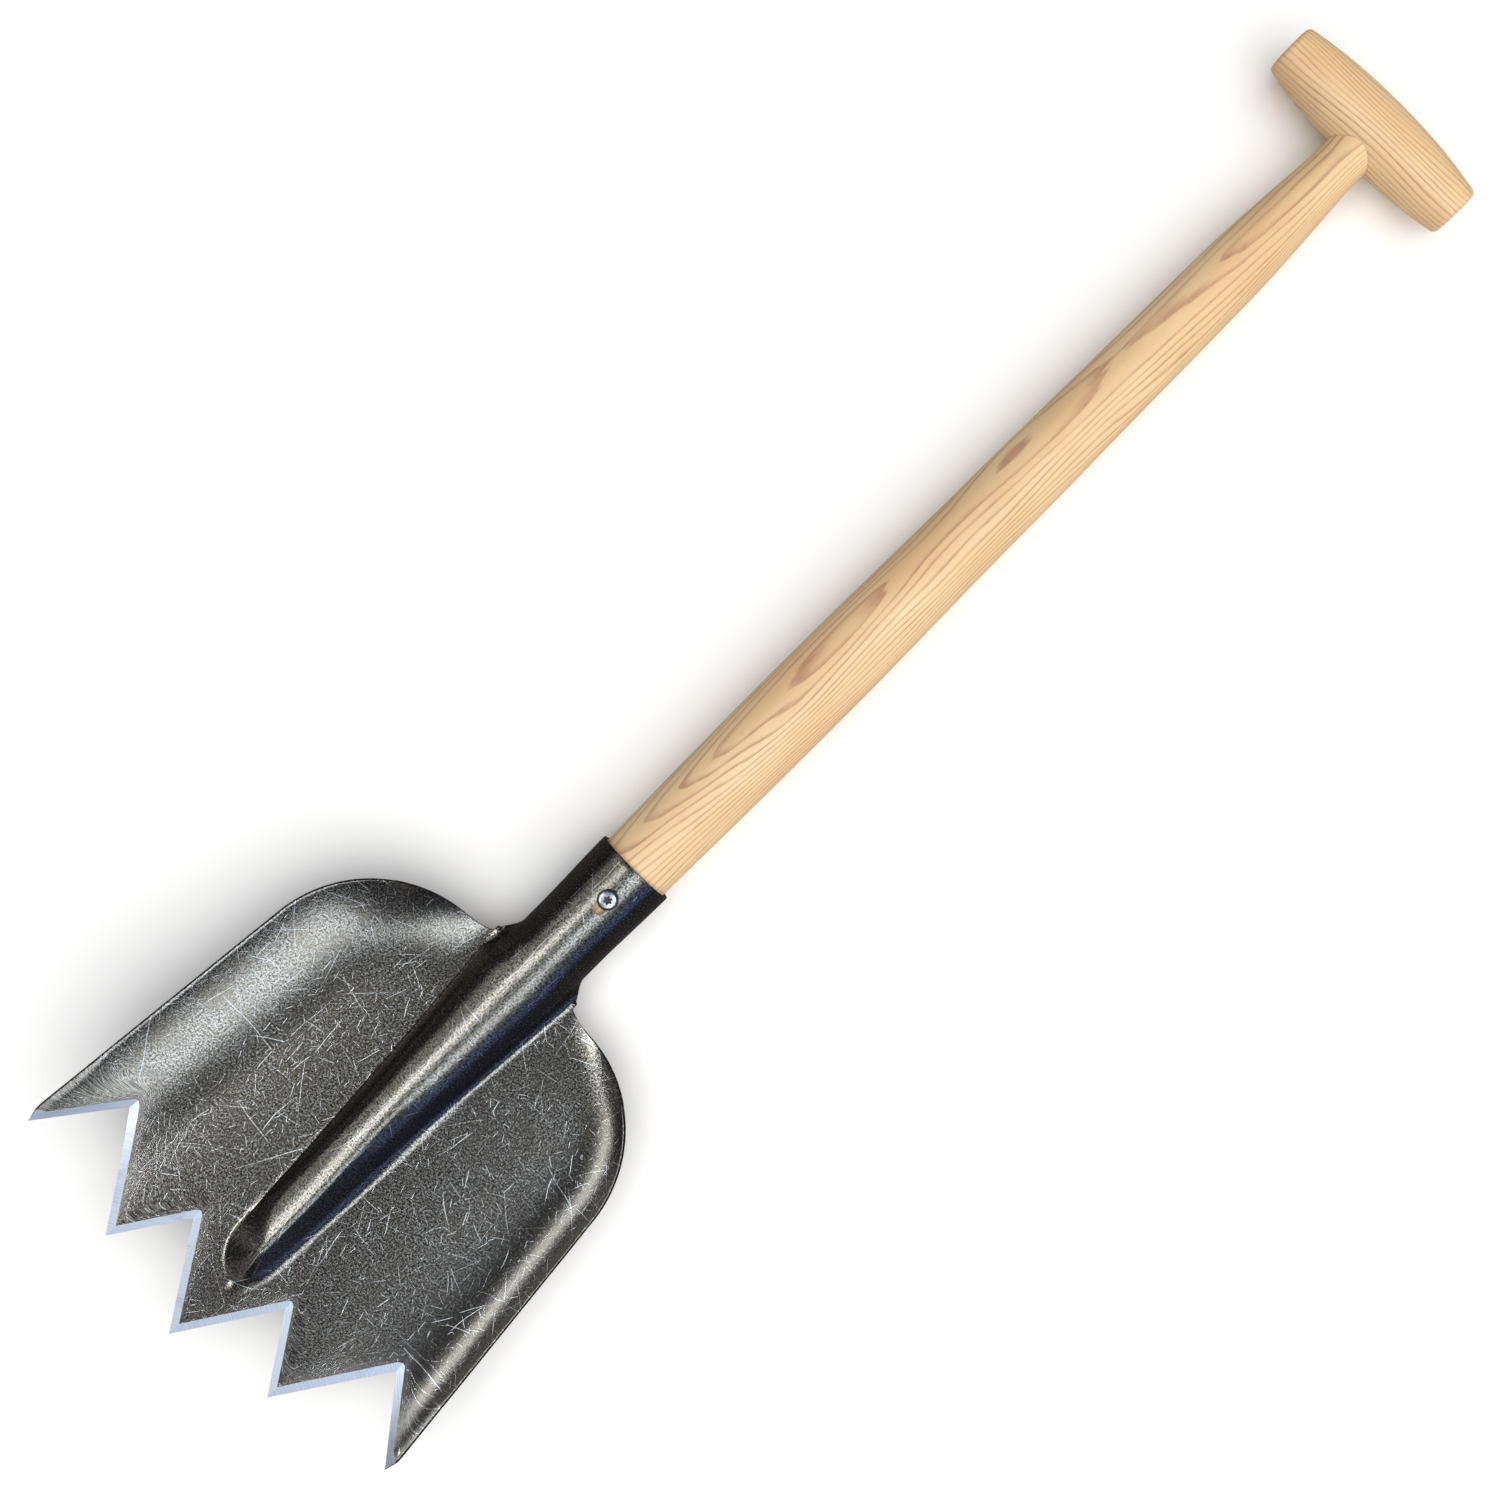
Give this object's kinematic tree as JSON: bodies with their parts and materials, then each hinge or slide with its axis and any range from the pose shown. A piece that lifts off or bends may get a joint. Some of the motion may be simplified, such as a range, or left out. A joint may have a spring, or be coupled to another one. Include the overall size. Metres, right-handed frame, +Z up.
{
  "type": "toothed t-grip shovel",
  "caption": "Digging shovel lying on its back: dished steel blade with a sawtooth edge, hollow ridge and rolled socket, swelled ash shaft and turned wooden T-grip.",
  "frame": {"origin": "under the middle of the tool, at its lowest level, with the tool lying on its back", "axes": "+Y along the shaft towards the grip, +Z up out of the front of the blade, +X across"},
  "size_m": [0.268, 0.9363, 0.0602],
  "materials": {
    "blade_steel": "dark rolled steel, finely scratched, with bright ground teeth",
    "shaft_ash": "sanded and oiled ash with a cathedral grain",
    "grip_ash": "turned, sanded and oiled ash, grain along the grip",
    "wedge_wood": "hardwood wedge, sawn and sanded flush",
    "screw_steel": "plain zinc-plated steel"
  },
  "bodies": {
    "root": {"blade": "blade_steel", "shaft": "shaft_ash", "grip": "grip_ash", "grip_wedge": "wedge_wood", "socket_screw": "screw_steel"}
  },
  "joints": []
}
